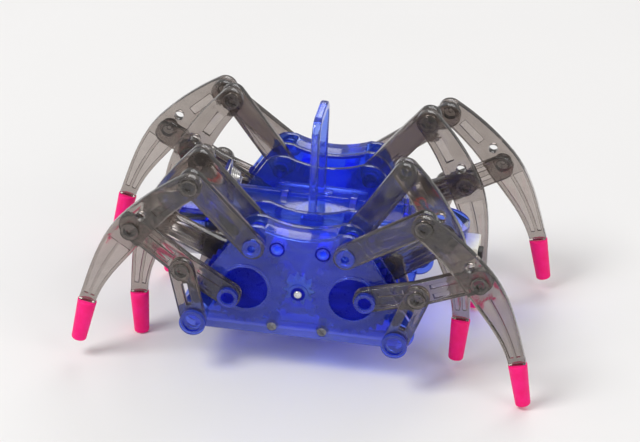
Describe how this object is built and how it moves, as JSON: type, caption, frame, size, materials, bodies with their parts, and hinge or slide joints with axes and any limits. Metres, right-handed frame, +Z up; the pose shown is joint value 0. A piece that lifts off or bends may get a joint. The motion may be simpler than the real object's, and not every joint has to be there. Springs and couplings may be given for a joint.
{
  "type": "legged walking toy",
  "caption": "Motorised walking toy: clear blue body with an open battery bay and arched handle, crank-driven smoke-grey legs with pink rubber feet.",
  "frame": {"origin": "on the floor, under the middle of the body", "axes": "+X along the walking direction, +Y across the body along the main axle, +Z up"},
  "size_m": [0.1186, 0.0664, 0.0605],
  "materials": {
    "blue_clear": "clear blue moulded plastic, polished",
    "crank_blue": "deep blue moulded plastic",
    "smoke_clear": "clear smoke-grey moulded plastic, polished",
    "pink_rubber": "soft hot-pink rubber",
    "screw_steel": "zinc plated",
    "contact_metal": "nickel plated",
    "motor_steel": "drawn can",
    "white_nylon": "milky nylon",
    "black_plastic": "matt",
    "red_insulation": "wire insulation"
  },
  "bodies": {
    "frame": {"chassis": "blue_clear", "near_case_outer": "blue_clear", "near_case_inner": "blue_clear", "far_case_outer": "blue_clear", "far_case_inner": "blue_clear", "arch_handle": "blue_clear", "case_screws": "screw_steel", "battery_contacts": "contact_metal", "motor_can": "motor_steel", "motor_nose": "black_plastic", "wires": "red_insulation", "switch_body": "white_nylon"},
    "axle": {"main_axle": "screw_steel", "drive_gears": "white_nylon"},
    "motor_shaft": {"motor_pinion": "white_nylon"},
    "switch": {"switch_knob": "black_plastic"},
    "crank_near_left": {"crank_near_left": "crank_blue"},
    "crank_near_right": {"crank_near_right": "crank_blue"},
    "crank_far_left": {"crank_far_left": "crank_blue"},
    "crank_far_right": {"crank_far_right": "crank_blue"},
    "near_left_outer_upper_rocker": {"near_left_outer_upper_rocker": "smoke_clear"},
    "near_left_outer_lower_rocker": {"near_left_outer_lower_rocker": "smoke_clear"},
    "near_left_outer_connecting_arm": {"near_left_outer_connecting_arm": "smoke_clear"},
    "near_left_outer_leg": {"near_left_outer_leg": "smoke_clear", "near_left_outer_foot_cap": "pink_rubber"},
    "near_right_outer_upper_rocker": {"near_right_outer_upper_rocker": "smoke_clear"},
    "near_right_outer_lower_rocker": {"near_right_outer_lower_rocker": "smoke_clear"},
    "near_right_outer_connecting_arm": {"near_right_outer_connecting_arm": "smoke_clear"},
    "near_right_outer_leg": {"near_right_outer_leg": "smoke_clear", "near_right_outer_foot_cap": "pink_rubber"},
    "near_left_inner_upper_rocker": {"near_left_inner_upper_rocker": "smoke_clear"},
    "near_left_inner_lower_rocker": {"near_left_inner_lower_rocker": "smoke_clear"},
    "near_left_inner_connecting_arm": {"near_left_inner_connecting_arm": "smoke_clear"},
    "near_left_inner_leg": {"near_left_inner_leg": "smoke_clear", "near_left_inner_foot_cap": "pink_rubber"},
    "near_right_inner_upper_rocker": {"near_right_inner_upper_rocker": "smoke_clear"},
    "near_right_inner_lower_rocker": {"near_right_inner_lower_rocker": "smoke_clear"},
    "near_right_inner_connecting_arm": {"near_right_inner_connecting_arm": "smoke_clear"},
    "near_right_inner_leg": {"near_right_inner_leg": "smoke_clear", "near_right_inner_foot_cap": "pink_rubber"},
    "far_left_inner_upper_rocker": {"far_left_inner_upper_rocker": "smoke_clear"},
    "far_left_inner_lower_rocker": {"far_left_inner_lower_rocker": "smoke_clear"},
    "far_left_inner_connecting_arm": {"far_left_inner_connecting_arm": "smoke_clear"},
    "far_left_inner_leg": {"far_left_inner_leg": "smoke_clear", "far_left_inner_foot_cap": "pink_rubber"},
    "far_right_inner_upper_rocker": {"far_right_inner_upper_rocker": "smoke_clear"},
    "far_right_inner_lower_rocker": {"far_right_inner_lower_rocker": "smoke_clear"},
    "far_right_inner_connecting_arm": {"far_right_inner_connecting_arm": "smoke_clear"},
    "far_right_inner_leg": {"far_right_inner_leg": "smoke_clear", "far_right_inner_foot_cap": "pink_rubber"},
    "far_left_outer_upper_rocker": {"far_left_outer_upper_rocker": "smoke_clear"},
    "far_left_outer_lower_rocker": {"far_left_outer_lower_rocker": "smoke_clear"},
    "far_left_outer_connecting_arm": {"far_left_outer_connecting_arm": "smoke_clear"},
    "far_left_outer_leg": {"far_left_outer_leg": "smoke_clear", "far_left_outer_foot_cap": "pink_rubber"},
    "far_right_outer_upper_rocker": {"far_right_outer_upper_rocker": "smoke_clear"},
    "far_right_outer_lower_rocker": {"far_right_outer_lower_rocker": "smoke_clear"},
    "far_right_outer_connecting_arm": {"far_right_outer_connecting_arm": "smoke_clear"},
    "far_right_outer_leg": {"far_right_outer_leg": "smoke_clear", "far_right_outer_foot_cap": "pink_rubber"}
  },
  "joints": [
    {"name": "axle_spin", "type": "hinge", "parent": "frame", "child": "axle", "pos_m": [0, 0, 0.0224], "axis": [0, -1, 0], "range_deg": [-60, 60]},
    {"name": "motor_shaft_spin", "type": "hinge", "parent": "frame", "child": "motor_shaft", "pos_m": [-0.0084, 0, 0.0224], "axis": [1, 0, 0], "range_deg": [-210.01, 210.01]},
    {"name": "crank_near_left_spin", "type": "hinge", "parent": "frame", "child": "crank_near_left", "pos_m": [-0.0134, -0.023, 0.0224], "axis": [0, -1, 0], "range_deg": [-20.01, 20.01]},
    {"name": "crank_near_right_spin", "type": "hinge", "parent": "frame", "child": "crank_near_right", "pos_m": [0.0134, -0.023, 0.0224], "axis": [0, -1, 0], "range_deg": [-20.01, 20.01]},
    {"name": "crank_far_left_spin", "type": "hinge", "parent": "frame", "child": "crank_far_left", "pos_m": [-0.0134, 0.023, 0.0224], "axis": [0, -1, 0], "range_deg": [-20.01, 20.01]},
    {"name": "crank_far_right_spin", "type": "hinge", "parent": "frame", "child": "crank_far_right", "pos_m": [0.0134, 0.023, 0.0224], "axis": [0, -1, 0], "range_deg": [-20.01, 20.01]},
    {"name": "near_left_outer_upper_rocker_swing", "type": "hinge", "parent": "frame", "child": "near_left_outer_upper_rocker", "pos_m": [-0.0116, -0.0282, 0.0351], "axis": [0, -1, 0], "range_deg": [-8.85, 8.85]},
    {"name": "near_left_outer_lower_rocker_swing", "type": "hinge", "parent": "frame", "child": "near_left_outer_lower_rocker", "pos_m": [-0.0252, -0.0308, 0.0143], "axis": [0, -1, 0], "range_deg": [-6, 6]},
    {"name": "near_left_outer_connecting_arm_swing", "type": "hinge", "parent": "near_left_outer_lower_rocker", "child": "near_left_outer_connecting_arm", "pos_m": [-0.0286, -0.0282, 0.02778], "axis": [0, -1, 0], "range_deg": [-1.92, 1.92]},
    {"name": "near_left_outer_leg_swing", "type": "hinge", "parent": "near_left_outer_connecting_arm", "child": "near_left_outer_leg", "pos_m": [-0.04156, -0.0308, 0.0375], "axis": [0, -1, 0], "range_deg": [-8.99, 8.99]},
    {"name": "near_right_outer_upper_rocker_swing", "type": "hinge", "parent": "frame", "child": "near_right_outer_upper_rocker", "pos_m": [0.0116, -0.0282, 0.0351], "axis": [0, -1, 0], "range_deg": [-3.33, 3.33]},
    {"name": "near_right_outer_lower_rocker_swing", "type": "hinge", "parent": "frame", "child": "near_right_outer_lower_rocker", "pos_m": [0.0252, -0.0308, 0.0143], "axis": [0, -1, 0], "range_deg": [-0.6, 0.6]},
    {"name": "near_right_outer_connecting_arm_swing", "type": "hinge", "parent": "near_right_outer_lower_rocker", "child": "near_right_outer_connecting_arm", "pos_m": [0.02996, -0.0282, 0.02736], "axis": [0, -1, 0], "range_deg": [-5.98, 5.98]},
    {"name": "near_right_outer_leg_swing", "type": "hinge", "parent": "near_right_outer_connecting_arm", "child": "near_right_outer_leg", "pos_m": [0.04499, -0.0308, 0.03341], "axis": [0, -1, 0], "range_deg": [-4.31, 4.31]},
    {"name": "near_left_inner_upper_rocker_swing", "type": "hinge", "parent": "frame", "child": "near_left_inner_upper_rocker", "pos_m": [-0.0116, -0.0178, 0.0351], "axis": [0, -1, 0], "range_deg": [-4.5, 4.5]},
    {"name": "near_left_inner_lower_rocker_swing", "type": "hinge", "parent": "frame", "child": "near_left_inner_lower_rocker", "pos_m": [-0.0252, -0.0152, 0.0143], "axis": [0, -1, 0], "range_deg": [-3.55, 3.55]},
    {"name": "near_left_inner_connecting_arm_swing", "type": "hinge", "parent": "near_left_inner_lower_rocker", "child": "near_left_inner_connecting_arm", "pos_m": [-0.0225, -0.0178, 0.02794], "axis": [0, -1, 0], "range_deg": [-1.4, 1.4]},
    {"name": "near_left_inner_leg_swing", "type": "hinge", "parent": "near_left_inner_connecting_arm", "child": "near_left_inner_leg", "pos_m": [-0.03725, -0.0152, 0.03465], "axis": [0, -1, 0], "range_deg": [-5.42, 5.42]},
    {"name": "near_right_inner_upper_rocker_swing", "type": "hinge", "parent": "frame", "child": "near_right_inner_upper_rocker", "pos_m": [0.0116, -0.0178, 0.0351], "axis": [0, -1, 0], "range_deg": [-4.86, 4.86]},
    {"name": "near_right_inner_lower_rocker_swing", "type": "hinge", "parent": "frame", "child": "near_right_inner_lower_rocker", "pos_m": [0.0252, -0.0152, 0.0143], "axis": [0, -1, 0], "range_deg": [-0.89, 0.89]},
    {"name": "near_right_inner_connecting_arm_swing", "type": "hinge", "parent": "near_right_inner_lower_rocker", "child": "near_right_inner_connecting_arm", "pos_m": [0.02138, -0.0178, 0.02767], "axis": [0, -1, 0], "range_deg": [-5.04, 5.04]},
    {"name": "near_right_inner_leg_swing", "type": "hinge", "parent": "near_right_inner_connecting_arm", "child": "near_right_inner_leg", "pos_m": [0.03444, -0.0152, 0.03726], "axis": [0, -1, 0], "range_deg": [-4.54, 4.54]},
    {"name": "far_left_inner_upper_rocker_swing", "type": "hinge", "parent": "frame", "child": "far_left_inner_upper_rocker", "pos_m": [-0.0116, 0.0178, 0.0351], "axis": [0, -1, 0], "range_deg": [-4.86, 4.86]},
    {"name": "far_left_inner_lower_rocker_swing", "type": "hinge", "parent": "frame", "child": "far_left_inner_lower_rocker", "pos_m": [-0.0252, 0.0152, 0.0143], "axis": [0, -1, 0], "range_deg": [-2.15, 2.15]},
    {"name": "far_left_inner_connecting_arm_swing", "type": "hinge", "parent": "far_left_inner_lower_rocker", "child": "far_left_inner_connecting_arm", "pos_m": [-0.02172, 0.0178, 0.02776], "axis": [0, -1, 0], "range_deg": [-3.59, 3.59]},
    {"name": "far_left_inner_leg_swing", "type": "hinge", "parent": "far_left_inner_connecting_arm", "child": "far_left_inner_leg", "pos_m": [-0.03565, 0.0152, 0.03603], "axis": [0, -1, 0], "range_deg": [-5.14, 5.14]},
    {"name": "far_right_inner_upper_rocker_swing", "type": "hinge", "parent": "frame", "child": "far_right_inner_upper_rocker", "pos_m": [0.0116, 0.0178, 0.0351], "axis": [0, -1, 0], "range_deg": [-4.82, 4.82]},
    {"name": "far_right_inner_lower_rocker_swing", "type": "hinge", "parent": "frame", "child": "far_right_inner_lower_rocker", "pos_m": [0.0252, 0.0152, 0.0143], "axis": [0, -1, 0], "range_deg": [-2.41, 2.41]},
    {"name": "far_right_inner_connecting_arm_swing", "type": "hinge", "parent": "far_right_inner_lower_rocker", "child": "far_right_inner_connecting_arm", "pos_m": [0.02183, 0.0178, 0.02779], "axis": [0, -1, 0], "range_deg": [-3.23, 3.23]},
    {"name": "far_right_inner_leg_swing", "type": "hinge", "parent": "far_right_inner_connecting_arm", "child": "far_right_inner_leg", "pos_m": [0.03592, 0.0152, 0.03578], "axis": [0, -1, 0], "range_deg": [-5.22, 5.22]},
    {"name": "far_left_outer_upper_rocker_swing", "type": "hinge", "parent": "frame", "child": "far_left_outer_upper_rocker", "pos_m": [-0.0116, 0.0282, 0.0351], "axis": [0, -1, 0], "range_deg": [-6.32, 6.32]},
    {"name": "far_left_outer_lower_rocker_swing", "type": "hinge", "parent": "frame", "child": "far_left_outer_lower_rocker", "pos_m": [-0.0252, 0.0308, 0.0143], "axis": [0, -1, 0], "range_deg": [-2.47, 2.47]},
    {"name": "far_left_outer_connecting_arm_swing", "type": "hinge", "parent": "far_left_outer_lower_rocker", "child": "far_left_outer_connecting_arm", "pos_m": [-0.02977, 0.0282, 0.02743], "axis": [0, -1, 0], "range_deg": [-4.61, 4.61]},
    {"name": "far_left_outer_leg_swing", "type": "hinge", "parent": "far_left_outer_connecting_arm", "child": "far_left_outer_leg", "pos_m": [-0.04409, 0.0308, 0.03501], "axis": [0, -1, 0], "range_deg": [-7.12, 7.12]},
    {"name": "far_right_outer_upper_rocker_swing", "type": "hinge", "parent": "frame", "child": "far_right_outer_upper_rocker", "pos_m": [0.0116, 0.0282, 0.0351], "axis": [0, -1, 0], "range_deg": [-6.9, 6.9]},
    {"name": "far_right_outer_lower_rocker_swing", "type": "hinge", "parent": "frame", "child": "far_right_outer_lower_rocker", "pos_m": [0.0252, 0.0308, 0.0143], "axis": [0, -1, 0], "range_deg": [-3.14, 3.14]},
    {"name": "far_right_outer_connecting_arm_swing", "type": "hinge", "parent": "far_right_outer_lower_rocker", "child": "far_right_outer_connecting_arm", "pos_m": [0.02964, 0.0282, 0.02747], "axis": [0, -1, 0], "range_deg": [-4.21, 4.21]},
    {"name": "far_right_outer_leg_swing", "type": "hinge", "parent": "far_right_outer_connecting_arm", "child": "far_right_outer_leg", "pos_m": [0.04376, 0.0308, 0.03541], "axis": [0, -1, 0], "range_deg": [-7.61, 7.61]},
    {"name": "switch_slide", "type": "slide", "parent": "frame", "child": "switch", "axis": [0, 1, 0], "range_m": [0, 0.0024]}
  ],
  "couplings": [
    {"joint": "motor_shaft_spin", "follows": "axle_spin", "ratio": -3.5},
    {"joint": "crank_near_left_spin", "follows": "axle_spin", "ratio": -0.33333},
    {"joint": "crank_near_right_spin", "follows": "axle_spin", "ratio": -0.33333},
    {"joint": "crank_far_left_spin", "follows": "axle_spin", "ratio": -0.33333},
    {"joint": "crank_far_right_spin", "follows": "axle_spin", "ratio": -0.33333},
    {"joint": "near_left_outer_upper_rocker_swing", "follows": "axle_spin", "ratio": 0.14733},
    {"joint": "near_left_outer_lower_rocker_swing", "follows": "axle_spin", "ratio": 0.099757},
    {"joint": "near_left_outer_connecting_arm_swing", "follows": "axle_spin", "ratio": 0.031762},
    {"joint": "near_left_outer_leg_swing", "follows": "axle_spin", "ratio": -0.14963},
    {"joint": "near_right_outer_upper_rocker_swing", "follows": "axle_spin", "ratio": 0.055265},
    {"joint": "near_right_outer_lower_rocker_swing", "follows": "axle_spin", "ratio": -0.009778},
    {"joint": "near_right_outer_connecting_arm_swing", "follows": "axle_spin", "ratio": 0.099444},
    {"joint": "near_right_outer_leg_swing", "follows": "axle_spin", "ratio": -0.071587},
    {"joint": "near_left_inner_upper_rocker_swing", "follows": "axle_spin", "ratio": -0.074757},
    {"joint": "near_left_inner_lower_rocker_swing", "follows": "axle_spin", "ratio": -0.05897},
    {"joint": "near_left_inner_connecting_arm_swing", "follows": "axle_spin", "ratio": -0.023165},
    {"joint": "near_left_inner_leg_swing", "follows": "axle_spin", "ratio": 0.0901},
    {"joint": "near_right_inner_upper_rocker_swing", "follows": "axle_spin", "ratio": -0.080899},
    {"joint": "near_right_inner_lower_rocker_swing", "follows": "axle_spin", "ratio": -0.014585},
    {"joint": "near_right_inner_connecting_arm_swing", "follows": "axle_spin", "ratio": -0.083914},
    {"joint": "near_right_inner_leg_swing", "follows": "axle_spin", "ratio": 0.075539},
    {"joint": "far_left_inner_upper_rocker_swing", "follows": "axle_spin", "ratio": -0.080842},
    {"joint": "far_left_inner_lower_rocker_swing", "follows": "axle_spin", "ratio": -0.035687},
    {"joint": "far_left_inner_connecting_arm_swing", "follows": "axle_spin", "ratio": -0.059598},
    {"joint": "far_left_inner_leg_swing", "follows": "axle_spin", "ratio": 0.085463},
    {"joint": "far_right_inner_upper_rocker_swing", "follows": "axle_spin", "ratio": -0.080121},
    {"joint": "far_right_inner_lower_rocker_swing", "follows": "axle_spin", "ratio": -0.039932},
    {"joint": "far_right_inner_connecting_arm_swing", "follows": "axle_spin", "ratio": -0.053714},
    {"joint": "far_right_inner_leg_swing", "follows": "axle_spin", "ratio": 0.086828},
    {"joint": "far_left_outer_upper_rocker_swing", "follows": "axle_spin", "ratio": 0.1051},
    {"joint": "far_left_outer_lower_rocker_swing", "follows": "axle_spin", "ratio": 0.041009},
    {"joint": "far_left_outer_connecting_arm_swing", "follows": "axle_spin", "ratio": 0.076598},
    {"joint": "far_left_outer_leg_swing", "follows": "axle_spin", "ratio": -0.11841},
    {"joint": "far_right_outer_upper_rocker_swing", "follows": "axle_spin", "ratio": 0.1148},
    {"joint": "far_right_outer_lower_rocker_swing", "follows": "axle_spin", "ratio": 0.052152},
    {"joint": "far_right_outer_connecting_arm_swing", "follows": "axle_spin", "ratio": 0.070048},
    {"joint": "far_right_outer_leg_swing", "follows": "axle_spin", "ratio": -0.12665}
  ]
}
